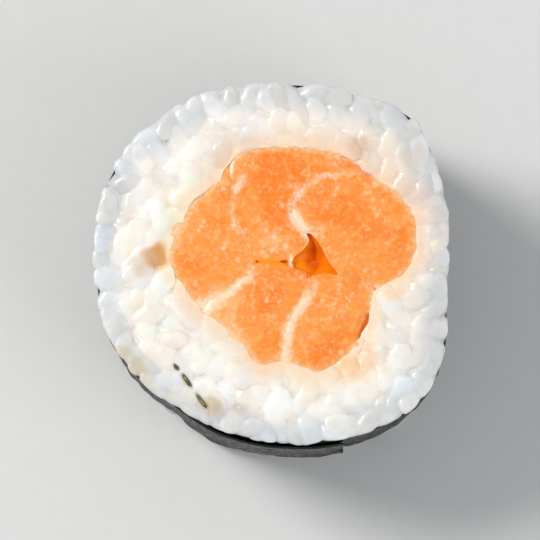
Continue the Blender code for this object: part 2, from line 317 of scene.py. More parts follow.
# Broad pale or deep areas of flesh: place, size, and how much paler.
FLESH_AREAS = (
    ((-4.0, -3.9), 1.9, 0.6),
    ((0.4, 1.9), 1.3, 0.35),
    ((4.8, 3.0), 0.9, 0.4),
    ((0.0, -2.6), 0.9, -0.5),
    ((1.0, 8.4), 2.2, -0.35),
    ((0.6, 5.0), 1.6, -0.5),
    ((6.5, -4.0), 2.4, 0.15),
    ((9.5, 0.0), 2.2, 0.2),
    ((4.6, -8.9), 1.2, -0.3),
    ((-5.8, 1.4), 1.6, 0.15),
)

# ---- stage, in metres and degrees --------------------------------------------
FLOOR_SIZE = 1.2
CAMERA_ELEVATION = 86.0
CAMERA_DISTANCE = 0.42
CAMERA_VIEW = 0.050
# The share of the roll's height at which the camera looks.
CAMERA_AIM = 0.8


# ---- numbers ----------------------------------------------------------------
# The directions of a table's values, and the step of a loop round an outline.
TABLE_DEGREES = np.arange(0, 360, 0.5)
LOOP_STEP = 3.0


def smoothstep(value):
    """Eases from 0 to 1 with the value, and stays there outside."""
    value = np.clip(value, 0.0, 1.0)
    return value**2 * (3 - 2 * value)


def bell(distance, width, power=2):
    """1 in the middle and next to nothing past the width, flatter at a high power."""
    return np.exp(-((distance / width) ** power))


def outline_table(outline):
    """Radii of a closed outline at every half degree, on a smooth curve."""
    angles = np.array([angle for angle, _ in outline], float)
    radii = np.array([radius for _, radius in outline], float)
    angles = np.concatenate([angles[-2:] - 360, angles, angles[:2] + 360])
    radii = np.concatenate([radii[-2:], radii, radii[:2]])
    left = np.searchsorted(angles, TABLE_DEGREES, side="right") - 1
    t = (TABLE_DEGREES - angles[left]) / (angles[left + 1] - angles[left])
    p0, p1, p2, p3 = (radii[left + step] for step in (-1, 0, 1, 2))
    return 0.5 * (
        2 * p1
        + (p2 - p0) * t
        + (2 * p0 - 5 * p1 + 4 * p2 - p3) * t**2
        + (3 * p1 - p0 - 3 * p2 + p3) * t**3
    )


def lobe_table(lobes):
    """The sum of soft lobes, at every half degree."""
    total = np.zeros(len(TABLE_DEGREES))
    for middle, width, reach in lobes:
        away = (TABLE_DEGREES - middle + 180) % 360 - 180
        total += reach * bell(away, width)
    return total


def radius_at(table, degrees):
    """A table's value in any direction."""
    return np.interp(degrees, TABLE_DEGREES, table, period=360)


ROLL_TABLE = outline_table(ROLL_OUTLINE)
BUNDLE_TABLE = outline_table(BUNDLE_OUTLINE)
SPILL_TABLE = lobe_table(BORDER_LOBES)


def polar(plan, centre=(0.0, 0.0)):
    """Distance and direction of plan points from a centre."""
    away = plan - np.asarray(centre)
    return np.hypot(away[:, 0], away[:, 1]), np.degrees(np.arctan2(away[:, 1], away[:, 0]))


def plan_points(degrees, radius):
    """Plan points in these directions, this far from the middle."""
    turn = np.radians(degrees)
    return np.column_stack([np.cos(turn), np.sin(turn)]) * radius[:, None]


def lumps(points, size, seed):
    """Smooth noise from -1 to 1 at each point, with lumps about size across."""
    table = np.random.default_rng(seed).uniform(-1, 1, 4096)
    cells = points / size
    corner = np.floor(cells).astype(np.int64)
    part = smoothstep(cells - corner)
    total = np.zeros(len(points))
    for step in itertools.product((0, 1), repeat=3):
        x, y, z = (corner + step).T
        weight = np.prod(np.where(step, part, 1 - part), axis=1)
        total += weight * table[(x * 73856093 ^ y * 19349663 ^ z * 83492791) % 4096]
    return total


def stretch_distance(plan, start, end):
    """How far plan points are from a straight stretch, and how far along it."""
    run = np.subtract(end, start)
    along = np.clip((plan - start) @ run / (run @ run), 0, 1)
    return np.hypot(*(plan - start - along[:, None] * run).T), along


def line_distance(plan, line):
    """How far each plan point is from a line of straight stretches."""
    return np.min([stretch_distance(plan, *ends)[0] for ends in zip(line, line[1:])], axis=0)


# ---- meshes -----------------------------------------------------------------
def read_vectors(source, key):
    """Three numbers for each point of a mesh."""
    numbers = np.empty(len(source) * 3, np.float32)
    source.foreach_get(key, numbers)
    return numbers.reshape(-1, 3).astype(float)


def read_points(mesh):
    return read_vectors(mesh.vertices, "co")


def read_normals(mesh):
    return read_vectors(mesh.vertex_normals, "vector")


def write_points(mesh, points):
    mesh.vertices.foreach_set("co", points.astype(np.float32).ravel())
    mesh.update()


def paint(mesh, name, values):
    """Stores a number or a colour for each vertex, for the material to read."""
    if values.ndim == 1:
        layer = mesh.attributes.new(name, "FLOAT", "POINT")
        layer.data.foreach_set("value", values.astype(np.float32))
        return
    layer = mesh.attributes.new(name, "FLOAT_COLOR", "POINT")
    filled = np.column_stack([values, np.ones(len(values))])
    layer.data.foreach_set("color", filled.astype(np.float32).ravel())


def closed_mesh(name, points, faces):
    """A mesh from points in millimetres, with its faces turned outwards."""
    mesh = bpy.data.meshes.new(name)
    mesh.from_pydata((points * MM).tolist(), [], faces)
    shape = bmesh.new()
    shape.from_mesh(mesh)
    bmesh.ops.recalc_face_normals(shape, faces=shape.faces)
    shape.to_mesh(mesh)
    shape.free()
    return mesh


def piece_from(name, mesh):
    """A new object in the scene, with this mesh."""
    made = bpy.data.objects.new(name, mesh)
    bpy.context.scene.collection.objects.link(made)
    return made


def baked(piece):
    """Applies the piece's modifiers."""
    bpy.context.view_layer.update()
    graph = bpy.context.evaluated_depsgraph_get()
    mesh = bpy.data.meshes.new_from_object(piece.evaluated_get(graph))
    piece.modifiers.clear()
    piece.data = mesh


def remesh(piece, voxel, smoothing):
    """Rebuilds a piece's skin from small cells, which fuses what overlaps."""
    cells = piece.modifiers.new("cells", "REMESH")
    cells.mode = "VOXEL"
    cells.voxel_size = voxel * MM
    ease = piece.modifiers.new("ease", "SMOOTH")
    ease.factor = 0.5
    ease.iterations = smoothing
    baked(piece)


def thin_out(piece, hidden, share):
    """Merges faces among the hidden points, until this share of them all is left."""
    group = piece.vertex_groups.new(name="hidden")
    group.add(np.flatnonzero(hidden).tolist(), 1.0, "REPLACE")
    fewer = piece.modifiers.new("fewer", "DECIMATE")
    fewer.vertex_group = "hidden"
    fewer.ratio = share
    baked(piece)
    piece.vertex_groups.clear()


def finish_piece(piece, slot, material, *nodes):
    """Dresses a piece, gives it its body, and hides what it replaces. The slot is not used."""
    piece.data.materials.clear()
    piece.data.materials.append(material)
    piece.data.shade_smooth()
    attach(piece, "root")
    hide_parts(*nodes)


# ---- materials --------------------------------------------------------------
class Shader:
    """A material's node tree, with short ways to add and join nodes."""

    def __init__(self, name):
        self.material = bpy.data.materials.new(name)
        self.material.use_nodes = True
        self.tree = self.material.node_tree
        self.surface = self.tree.nodes["Principled BSDF"]

    def node(self, kind, **settings):
        """A new node of this kind."""
        made = self.tree.nodes.new("ShaderNode" + kind)
        for key, value in settings.items():
            setattr(made, key, value)
        return made

    def feed(self, socket, value):
        """Links an output to a socket, or sets a value on it."""
        if isinstance(value, bpy.types.NodeSocket):
            self.tree.links.new(value, socket)
        else:
            socket.default_value = value

    def set(self, **values):
        """Feeds the surface's own sockets."""
        for key, value in values.items():
            self.feed(self.surface.inputs[key.replace("_", " ")], value)

    def attribute(self, name, output="Fac"):
        """What paint() stored under this name."""
        return self.node("Attribute", attribute_name=name).outputs[output]

    def position(self, stretch=(1, 1, 1)):
        """Place on the piece, in millimetres, stretched along each axis."""
        place = self.node("TexCoord").outputs["Object"]
        scaled = self.node("Mapping", vector_type="POINT")
        self.feed(scaled.inputs["Vector"], place)
        scaled.inputs["Scale"].default_value = [factor / MM for factor in stretch]
        return scaled.outputs["Vector"]

    def noise(self, place, size, detail=2.0, distortion=0.0):
        """Soft noise with lumps about size across."""
        made = self.node("TexNoise")
        self.feed(made.inputs["Vector"], place)
        made.inputs["Scale"].default_value = 1 / size
        made.inputs["Detail"].default_value = detail
        made.inputs["Distortion"].default_value = distortion
        return made.outputs["Fac"]

    def specks(self, place, size):
        """Distance from scattered points about size apart."""
        made = self.node("TexVoronoi")
        self.feed(made.inputs["Vector"], place)
        made.inputs["Scale"].default_value = 1 / size
        return made.outputs["Distance"]

    def ramp(self, value, low, high, to_low=0.0, to_high=1.0):
        """Eases from to_low to to_high as the value goes from low to high."""
        made = self.node("MapRange", interpolation_type="SMOOTHSTEP")
        self.feed(made.inputs["Value"], value)
        limits = {"From Min": low, "From Max": high, "To Min": to_low, "To Max": to_high}
        for key, limit in limits.items():
            made.inputs[key].default_value = limit
        return made.outputs["Result"]

    def maths(self, operation, first, second):
        """What a Math node makes of two values."""
        made = self.node("Math", operation=operation)
        self.feed(made.inputs[0], first)
        self.feed(made.inputs[1], second)
        return made.outputs[0]

    def times(self, first, second):
        return self.maths("MULTIPLY", first, second)

    def plus(self, first, second):
        return self.maths("ADD", first, second)

    def mix(self, factor, first, second, blend="MIX"):
        """One colour over another."""
        made = self.node("Mix", data_type="RGBA", blend_type=blend)
        self.feed(made.inputs["Factor"], factor)
        self.feed(made.inputs["A"], first)
        self.feed(made.inputs["B"], second)
        return made.outputs["Result"]

    def bump(self, height, distance, strength=1.0, onto=None):
        """A normal that shows this height, on top of another normal."""
        made = self.node("Bump")
        made.inputs["Strength"].default_value = strength
        made.inputs["Distance"].default_value = distance * MM
        self.feed(made.inputs["Height"], height)
        if onto:
            self.feed(made.inputs["Normal"], onto)
        return made.outputs["Normal"]


def rice_material():
    """Glossy, milky grains in the colours painted on them."""
    look = Shader("rice")
    place = look.position()
    colour = look.attribute("tint", "Color")
    cloudy = look.ramp(look.noise(place, 1.1, 3.0), 0.35, 0.7)
    colour = look.mix(cloudy, colour, (0.95, 0.94, 0.92, 1), "MULTIPLY")
    grainy = look.noise(place, 0.16, 4.0)
    relief = look.bump(look.noise(place, 0.6, 2.0), 0.10, 0.5)
    look.set(
        Base_Color=colour,
        Roughness=look.ramp(grainy, 0.3, 0.7, 0.25, 0.45),
        Subsurface_Weight=look.attribute("milky"),
        Subsurface_Radius=(1.0, 0.88, 0.75),
        Subsurface_Scale=1.5 * MM,
        IOR=1.36,
        Coat_Weight=0.22,
        Coat_Roughness=0.18,
        Normal=look.bump(grainy, 0.03, 0.5, relief),
    )
    return look.material


def salmon_material():
    """Moist orange flesh with pale fat, flecks, fibres, and specks that are partly painted
    highlights.
    """
    look = Shader("salmon")
    place = look.position()
    deep = (1.0, 0.245, 0.018, 1)
    flesh = (1.0, 0.335, 0.058, 1)
    light = (1.0, 0.51, 0.20, 1)
    fat = (1.0, 0.71, 0.49, 1)
    # Painted light and shade within gap, crack and notch: a saturated orange, a dark core.
    inner = (1.0, 0.29, 0.003, 1)
    core = (0.76, 0.165, 0.001, 1)
    # Painted shade of the fold at the upper right.
    fold_shade_colour = (1.0, 0.19, 0.04, 1)
    mottle = look.plus(look.noise(place, 2.4, 3.0), look.attribute("pale"))
    colour = look.mix(look.ramp(mottle, 0.3, 0.6), deep, flesh)
    colour = look.mix(look.ramp(mottle, 0.65, 1.0, 0.0, 0.8), colour, light)
    flecks = look.noise(place, 0.75, 2.0, 0.6)
    colour = look.mix(look.ramp(flecks, 0.5, 0.72, 0.0, 0.5), colour, light)
    colour = look.mix(look.ramp(flecks, 0.3, 0.48, 0.5, 0.0), colour, deep)
    fibres = look.ramp(look.noise(place, 0.32, 3.0, 0.4), 0.46, 0.72)
    colour = look.mix(look.times(fibres, 0.25), colour, light)
    # Pale specks: partly flecks of fat, partly painted highlights on the moist flesh.
    specks_and_highlights = look.times(look.attribute("specks_and_highlights"), 0.16)
    for size, strength in ((0.9, 0.65), (0.45, 0.4)):
        dots = look.ramp(look.specks(place, size), 0.08, 0.42, 1.0, 0.0)
        some = look.plus(look.noise(place, 2.4 * size, 1.0), specks_and_highlights)
        some = look.ramp(some, 0.48, 0.68, 0.0, strength)
        colour = look.mix(look.times(dots, some), colour, fat)
    ragged = look.plus(look.noise(place, 0.4, 4.0, 0.5), look.attribute("fat"))
    colour = look.mix(look.ramp(ragged, 0.6, 1.35), colour, fat)
    colour = look.mix(look.attribute("fold_shade"), colour, fold_shade_colour)
    # Painted light and shade within the gap, crack and notch.
    colour = look.mix(look.attribute("deep"), colour, inner)
    colour = look.mix(look.attribute("core"), colour, core)
    fine = look.noise(place, 0.24, 3.0)
    relief = look.bump(look.noise(place, 0.9, 2.0), 0.09, 0.5)
    look.set(
        Base_Color=colour,
        Roughness=look.ramp(fine, 0.3, 0.7, 0.2, 0.38),
        Subsurface_Weight=look.times(look.attribute("milky"), 0.5),
        Subsurface_Radius=(1.0, 0.35, 0.12),
        Subsurface_Scale=1.0 * MM,
        IOR=1.4,
        Coat_Weight=0.2,
        Coat_Roughness=0.15,
        Normal=look.bump(fine, 0.06, 0.7, relief),
    )
    return look.material


def nori_material():
    """Black-green seaweed with fibres, olive at its cut edge."""
    look = Shader("nori")
    place = look.position()
    black = (0.004, 0.006, 0.004, 1)
    green = (0.014, 0.022, 0.009, 1)
    blotch = look.ramp(look.noise(place, 2.2, 4.0, 0.6), 0.42, 0.72)
    colour = look.mix(blotch, black, green)
    uneven = look.ramp(look.noise(place, 0.6, 2.0), 0.44, 0.6)
    olive = look.mix(uneven, (0.34, 0.28, 0.12, 1), (0.10, 0.09, 0.035, 1))
    colour = look.mix(look.attribute("olive"), colour, olive)
    fibre = look.noise(look.position((1.0, 1.0, 0.4)), 0.5, 5.0, 1.2)
    flecks = look.ramp(look.noise(place, 0.3, 3.0, 0.5), 0.6, 0.75, 0.0, 0.6)
    colour = look.mix(flecks, colour, (0.026, 0.036, 0.016, 1))
    relief = look.bump(fibre, 0.14, 0.8)
    look.set(
        Base_Color=colour,
        Roughness=look.ramp(fibre, 0.3, 0.7, 0.34, 0.6),
        Specular_IOR_Level=0.3,
        Normal=look.bump(look.noise(place, 0.14, 3.0), 0.025, 0.6, relief),
    )
    return look.material


# ---- nori -------------------------------------------------------------------
def nori_path(degrees):
    """Plan points of the sheet's middle, from tucked edge to free edge."""
    radius = radius_at(ROLL_TABLE, degrees) - NORI_THICKNESS / 2
    tucked = 1 - (degrees - NORI_TUCK_START) / (NORI_TUCK_END - NORI_TUCK_START)
    lapped = (degrees - NORI_LAP_START) / NORI_LAP_RISE
    radius = radius - NORI_TUCK_DEPTH * smoothstep(tucked)
    radius = radius + (NORI_THICKNESS + NORI_LAP_GAP) * smoothstep(lapped)
    return plan_points(degrees, radius)


def roll_axis():
    """Where the roll's axis stands in the frame, from the nori's box."""
    path = nori_path(np.arange(NORI_TUCK_START, NORI_END, 0.5))
    low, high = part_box("nori")
    middle = np.array((low + high)[:2]) / 2 / MM
    return middle - (path.min(0) + path.max(0)) / 2


# ---- the roll's pieces --------------------------------------------------------
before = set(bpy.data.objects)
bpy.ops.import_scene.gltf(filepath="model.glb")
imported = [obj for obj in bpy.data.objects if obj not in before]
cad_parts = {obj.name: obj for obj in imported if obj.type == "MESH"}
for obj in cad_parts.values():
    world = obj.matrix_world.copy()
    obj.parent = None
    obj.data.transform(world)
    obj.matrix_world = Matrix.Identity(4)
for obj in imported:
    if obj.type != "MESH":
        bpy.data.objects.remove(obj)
cad_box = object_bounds()
AXIS = roll_axis()
ROLL_TOP = cad_box[1][2] / MM
NORI_FOOT, NORI_TOP = (corner.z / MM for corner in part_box("nori"))
SALMON_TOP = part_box(SALMON_NODES[0])[1].z / MM


def make_nori():
    """The sheet: a fine grid along its path, dented by the rice behind it."""
    length = math.radians(NORI_END - NORI_TUCK_START) * ROLL_RADIUS
    columns = round(length / NORI_CELL)
    rows = round((NORI_TOP - NORI_FOOT) / NORI_CELL)
    degrees = np.linspace(NORI_TUCK_START, NORI_END, columns)
    path = nori_path(degrees)
    along = np.gradient(path, axis=0)
    ahead = along / np.hypot(*along.T)[:, None]
    outward = np.column_stack([ahead[:, 1], -ahead[:, 0]])
    edge = np.column_stack([path, np.zeros(columns)])
    top = NORI_TOP - NORI_TOP_DROP + 0.1 * lumps(edge, 2.4, 21) + 0.06 * lumps(edge, 0.7, 22)
    top -= NORI_TOP_LEAN * path[:, 1] / ROLL_RADIUS
    for sight, reach in TUCK_SIGHTS:
        away = np.hypot(*(path - sight).T)
        top += TUCK_RISE * bell(away, reach, 4)
    foot = NORI_FOOT + NORI_FOOT_LIFT + 0.1 * lumps(edge, 2.0, 23)
    share = np.linspace(0, 1, rows)[:, None]
    height = foot + (top - foot) * share
    sheet = np.dstack([np.tile(path, (rows, 1, 1)), height]).reshape(-1, 3)
    dent = NORI_DENT * lumps(sheet * (1, 1, 0.8), 2.3, 24)
    dent += NORI_DENT * 0.5 * lumps(sheet, 1.1, 25)
    dent += NORI_WRINKLE * lumps(sheet * (1, 1, 0.22), 0.8, 26)
    dent *= 1 - 0.8 * smoothstep((sheet[:, 2] - NORI_TOP + 2.5) / 2.0)
    sheet[:, :2] += dent[:, None] * np.tile(outward, (rows, 1)) + AXIS
    # The free edge wanders along the sheet.
    loose = np.tile(smoothstep((degrees - NORI_END + NORI_LOOSE) / NORI_LOOSE), rows)
    torn = 0.5 * lumps(sheet * (0, 0, 1), 5.0, 27) + 0.12 * lumps(sheet * (0, 0, 1), 0.9, 28)
    sheet[:, :2] += (loose * torn)[:, None] * np.tile(ahead, (rows, 1))
    cell = np.arange(columns - 1)[None, :] + np.arange(rows - 1)[:, None] * columns
    corners = np.stack([cell, cell + 1, cell + columns + 1, cell + columns], -1)
    mesh = bpy.data.meshes.new("nori_sheet")
    mesh.from_pydata((sheet * MM).tolist(), [], corners.reshape(-1, 4).tolist())
    piece = piece_from("nori_sheet", mesh)
    shell = piece.modifiers.new("thickness", "SOLIDIFY")
    shell.thickness = NORI_SHEET * MM
    shell.offset = 0.0
    baked(piece)
    points = read_points(piece.data) / MM
    paint(piece.data, "olive", smoothstep((points[:, 2] - NORI_TOP + 0.1) / 0.3))
    finish_piece(piece, "nori", nori_material(), "nori")


def nearest_wall(points, normals):
    """How far inside its strip's wall each point is, and which way is out."""
    waist = np.abs(points[:, 2] - ROLL_TOP / 2) < SALMON_VOXEL
    wall = kdtree.KDTree(int(waist.sum()))
    for index, place in enumerate(points[waist]):
        wall.insert((place[0], place[1], 0), index)
    wall.balance()
    found = [wall.find((x, y, 0)) for x, y in points[:, :2]]
    inset = np.array([distance for _, _, distance in found])
    outward = np.array([place[:2] for place, _, _ in found]) - points[:, :2]
    # Close to the wall its normal gives the way out.
    near = inset < 0.1
    outward[near] = normals[near, :2]
    outward /= np.maximum(np.hypot(*outward.T), 1e-6)[:, None]
    return inset, outward


def strip_swell(number, points, inset, depth, to_gap):
    """How far out each point goes to meet the neighbours, save at gap and crack."""
    plan = points[:, :2] - AXIS
    swell = inset - np.interp(inset, *zip(*EDGE_INSETS))
    joined = smoothstep((to_gap - GAP_HALF_WIDTH) / GAP_EASE)
    joined *= 1 - bell(line_distance(plan, CRACK_SIGHT), CRACK_HALF_WIDTH)
    bridged = bell(line_distance(plan, BRIDGE), BRIDGE_HALF_WIDTH)
    swell *= np.maximum(joined, bridged)
    if number == THIN_STRIP:
        swell *= 1 - bell(line_distance(plan, THIN_END), THIN_END_REACH, 4)
    # Deeper down the walls come in, and close the gap and the crack.
    wall_only = smoothstep(1 - inset / WALL_REACH)
    closed = smoothstep((depth - GAP_DEPTHS[0]) / (GAP_DEPTHS[1] - GAP_DEPTHS[0]))
    swell += GAP_CLOSING * wall_only * closed * smoothstep((GAP_REACH - to_gap) / GAP_EASE)
    to_crack = line_distance(plan, CRACK_LINE)
    deeper = smoothstep((depth - 0.2) / 0.9) * smoothstep((CRACK_REACH - to_crack) / GAP_EASE)
    swell += CRACK_CLOSING * wall_only * deeper
    swell += WALL_UNEVEN * wall_only * lumps(points, 1.6, 30 + number)
    return swell


def follow_border(points):
    """Moves the flesh out where the border pushes into the rice."""
    away, direction = polar(points[:, :2] - AXIS, HUB)
    push = np.maximum(-radius_at(SPILL_TABLE, direction), 0)
    push *= smoothstep(1 - (radius_at(BUNDLE_TABLE, direction) - away) / BORDER_REACH)
    points[:, :2] += (points[:, :2] - AXIS - HUB) * (push / np.maximum(away, 1))[:, None]


def make_salmon_strip(number, material):
    """One strip: its CAD shape swollen to meet its neighbours, with a soft end."""
    name = SALMON_NODES[number]
    piece = piece_from(f"{name}_flesh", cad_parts[name].data.copy())
    remesh(piece, SALMON_VOXEL, SALMON_SMOOTHING)
    points = read_points(piece.data) / MM
    normals = read_normals(piece.data)
    inset, outward = nearest_wall(points, normals)
    facing = smoothstep(normals[:, 2] * 1.4)
    lower = points[:, 2] < SALMON_TOP / 2
    depth = np.where(lower, points[:, 2], SALMON_TOP - points[:, 2])
    depth = np.interp(depth, *zip(*EDGE_DEPTHS))
    points[:, 2] = np.where(lower, depth, SALMON_TOP - depth)
    to_gap = line_distance(points[:, :2] - AXIS, GAP_LINE)
    swell = strip_swell(number, points, inset, depth, to_gap)
    points[:, :2] += outward * swell[:, None]
    follow_border(points)

    plan = points[:, :2] - AXIS
    upper = smoothstep((points[:, 2] - SALMON_TOP + 1.2) / 1.0)
    notch = bell(line_distance(plan, NOTCH_LINE), NOTCH_HALF_WIDTH, 4) * upper
    points[:, 2] -= NOTCH_DEPTH * notch * facing
    crown = SALMON_CROWN * (1 - bell(inset, CROWN_REACH))
    flat = points * (1, 1, 0)
    relief = sum(height * lumps(flat, size, seed) for height, size, seed in FLESH_RELIEF)
    under = np.maximum(-HALF_GAP - np.interp(inset, *zip(*EDGE_INSETS)), 0)
    smeared = bell(np.minimum(past_salmon(plan)[0], 0), SMEAR_REACH)
    fat = np.maximum(fat_amount(plan, points), 0.45 * smeared)
    points[:, 2] += (crown + relief - DIP_SLOPE * under) * upper * facing
    write_points(piece.data, points * MM)
    paint(piece.data, "fat", fat * np.maximum(upper, 0.25))
    paint(piece.data, "pale", area_amount(plan, points, FLESH_AREAS) + 0.5 * smeared)
    # Where pale specks crowd, partly as painted highlights.
    specks_and_highlights = [(place, size, 1.0) for place, size in SPECK_AND_HIGHLIGHT_AREAS]
    paint(piece.data, "specks_and_highlights", area_amount(plan, points, specks_and_highlights))
    # Painted light and shade: deep orange in gap, crack and notch, and dark in their depths.
    gap_shade = smoothstep((depth - 0.05) / 0.35) * smoothstep((2.6 - to_gap) / 0.8)
    crack_shade = 0.95 * bell(line_distance(plan, CRACK_SIGHT), 0.4, 4)
    deep = np.maximum(np.maximum(gap_shade, notch), crack_shade)
    paint(piece.data, "deep", deep)
    # Painted shade along the fold at the upper right.
    fold_shade = 0.7 * bell(line_distance(plan, FOLD_SHADE_LINE), FOLD_SHADE_HALF_WIDTH) * facing
    paint(piece.data, "fold_shade", fold_shade)
    core = bell(line_distance(plan, GAP_SHADE_CORE), 0.85, 6)
    paint(piece.data, "core", np.maximum(gap_shade * core, 0.9 * notch))
    # Light that passes from strip to strip would be lost at a seam, so they aren't milky there.
    paint(piece.data, "milky", smoothstep((inset - 0.2) / 0.9) * (1 - deep))
    thin_out(piece, depth > SALMON_HIDDEN_DEPTH, SALMON_KEPT)
    finish_piece(piece, "salmon", material, name)


def fat_amount(plan, points):
    """How much fat there is at each point, from 0 to 1, along the fat lines."""
    wobble = np.column_stack([lumps(points, 1.3, 60), lumps(points, 1.3, 61)])
    amount = np.zeros(len(plan))
    patchy = 0.85 + 0.3 * lumps(points, 1.7, 70)
    for width, line in FAT_LINES:
        for start, end in zip(line, line[1:]):
            gap, share = stretch_distance(plan + 0.15 * wobble, start[:2], end[:2])
            strength = start[2] + (end[2] - start[2]) * share
            amount = np.maximum(amount, strength * bell(gap, width))
    return np.clip(amount * patchy, 0, 1)


def area_amount(plan, points, areas):
    """The sum at each point of soft areas: their place, size and strength."""
    wobble = np.column_stack([lumps(points, 1.8, 62), lumps(points, 1.8, 63)])
    amount = np.zeros(len(plan))
    for place, size, strength in areas:
        away = np.hypot(*(plan + 0.5 * wobble - place).T)
        amount += strength * bell(away, size)
    return amount


# ---- rice -------------------------------------------------------------------
def grain_template():
    """A plump grain's points and faces, for a grain of unit half sizes."""
    shape = bmesh.new()
    bmesh.ops.create_uvsphere(shape, u_segments=12, v_segments=9, radius=1.0)
    points = np.array([vertex.co[:] for vertex in shape.verts])
    faces = [[vertex.index for vertex in face.verts] for face in shape.faces]
    shape.free()
    size = (np.abs(points) ** GRAIN_SQUARENESS).sum(1) ** (1 / GRAIN_SQUARENESS)
    return points / size[:, None], faces


def turned(draw):
    """A random turn of one grain, mostly lying down."""
    heading = draw.uniform(0, 2 * math.pi)
    tilt = math.radians(max(min(draw.normal(0, GRAIN_TILT), MOST_TILT), -MOST_TILT))
    roll = draw.uniform(0, 2 * math.pi)
    turn = Matrix.Rotation(heading, 3, "Z") @ Matrix.Rotation(tilt, 3, "Y")
    return np.array(turn @ Matrix.Rotation(roll, 3, "X"))


def in_ring(plan, from_outline, from_salmon):
    """Which plan points are this far inside the roll's outline and outside the salmon's."""
    away, direction = polar(plan)
    from_hub, hub_direction = polar(plan, HUB)
    inside = away < radius_at(ROLL_TABLE, direction) - from_outline
    return inside & (from_hub > radius_at(BUNDLE_TABLE, hub_direction) + from_salmon)


def border_row(draw, spacing):
    """Middles of the grains that lie close along the nori."""
    count = round(2 * math.pi * ROLL_RADIUS / spacing)
    stray = draw.uniform(-BORDER_ROW_STRAY, BORDER_ROW_STRAY, count)
    degrees = (np.arange(count) + stray) * 360 / count
    depth = draw.uniform(*BORDER_ROW_DEPTHS, count)
    return plan_points(degrees, radius_at(ROLL_TABLE, degrees) - depth)


def scattered(draw):
    """Middles of the grains of one cut face, in layers under it."""
    kept = np.empty((0, 3))
    for depth, spread, spacing in GRAIN_LAYERS:
        tries = draw.uniform(-SCATTER_REACH, SCATTER_REACH, (SCATTER_TRIES, 2))
        tries = tries[in_ring(tries, SCATTER_ROOM, SCATTER_ROOM)]
        layer = border_row(draw, spacing)
        for place in tries:
            if ((layer - place) ** 2).sum(1).min() > spacing**2:
                layer = np.vstack([layer, place])
        height = ROLL_TOP - depth + spread * draw.uniform(-1, 1, len(layer))
        kept = np.vstack([kept, np.column_stack([layer, height])])
    return kept


def outline_loop(table, change):
    """Plan points round an outline, this much further out than it."""
    degrees = np.arange(0, 360, LOOP_STEP)
    return plan_points(degrees, radius_at(table, degrees) + change)


def roll_loop(inset):
    """Plan points along the roll's outline, this far inside it."""
    return outline_loop(ROLL_TABLE, -inset)


def bundle_loop(outset):
    """Plan points along the salmon's outline, this far outside it."""
    return HUB + outline_loop(BUNDLE_TABLE, outset)


def ring_prism(foot, top, outer, inner):
    """Points and faces of a plain ring between two heights and two loops."""
    count = len(outer)
    loops = ((outer, foot), (outer, top), (inner, top), (inner, foot))
    points = np.vstack([np.column_stack([loop, np.full(count, z)]) for loop, z in loops])
    faces = []
    for row in range(4):
        for i in range(count):
            after = (i + 1) % count
            above = (row + 1) % 4 * count
            faces.append([row * count + i, row * count + after, above + after, above + i])
    return points, faces


class Grains:
    """The grains of one cut face: their middles, turns, sizes and shades."""

    def __init__(self, draw):
        self.places = scattered(draw)
        self.turns = np.array([turned(draw) for _ in self.places])
        vary = draw.uniform(*GRAIN_VARY, (len(self.places), 3))
        self.halves = np.array([GRAIN_LENGTH, GRAIN_WIDTH, GRAIN_THICKNESS]) / 2 * vary
        self.keep_tips_in()
        away, direction = polar(self.places[:, :2], HUB)
        to_salmon = np.maximum(away - radius_at(BUNDLE_TABLE, direction), 0)
        self.places[:, 2] += GRAIN_RAISE * bell(to_salmon, GRAIN_RAISE_REACH)
        self.bends = draw.uniform(-GRAIN_BEND, GRAIN_BEND, len(self.places))
        self.shades = draw.normal(0, 1, (len(self.places), 2))

    def keep_tips_in(self):
        """Moves whole grains until their tips stay between nori and salmon."""
        for step in range(6):
            side = 1 - 2 * (step % 2)
            reach = side * (self.halves[:, :1] - GRAIN_TIP) * self.turns[:, :, 0]
            tips = (self.places + reach)[:, :2]
            away, direction = polar(tips)
            excess = np.maximum(away + RIM_ROOM - radius_at(ROLL_TABLE, direction), 0)
            self.places[:, :2] -= tips * (excess / away)[:, None]
            tips = (self.places + reach)[:, :2] - HUB
            away, direction = polar(tips)
            lack = np.maximum(radius_at(BUNDLE_TABLE, direction) + SALMON_ROOM - away, 0)
            self.places[:, :2] += tips * (lack / away)[:, None]

    def skin(self):
        """Points and faces of all the grains together."""
        unit, faces = grain_template()
        points, joined = [], []
        for place, turn, half, bend in zip(self.places, self.turns, self.halves, self.bends):
            grain = unit * half
            grain[:, 1] += bend * (unit[:, 0] ** 2 - 0.4) * half[0]
            joined += [[corner + len(unit) * len(points) for corner in face] for face in faces]
            points.append(grain @ turn.T + place)
        return np.vstack(points), joined

    def nearest(self, points):
        """For each point its grain, and how clearly it is that grain's."""
        best = np.full(len(points), np.inf)
        second = best.copy()
        owner = np.zeros(len(points), int)
        for index, (place, turn, half) in enumerate(zip(self.places, self.turns, self.halves)):
            reach = np.sqrt((((points - place) @ turn / half) ** 2).sum(1))
            closer = reach < best
            second = np.where(closer, best, np.minimum(second, reach))
            best = np.where(closer, reach, best)
            owner[closer] = index
        return owner, second - best


def past_salmon(plan):
    """How far plan points are outside the salmon that shows, and which way."""
    away, direction = polar(plan, HUB)
    border = radius_at(BUNDLE_TABLE, direction) - radius_at(SPILL_TABLE, direction)
    return away - border, direction


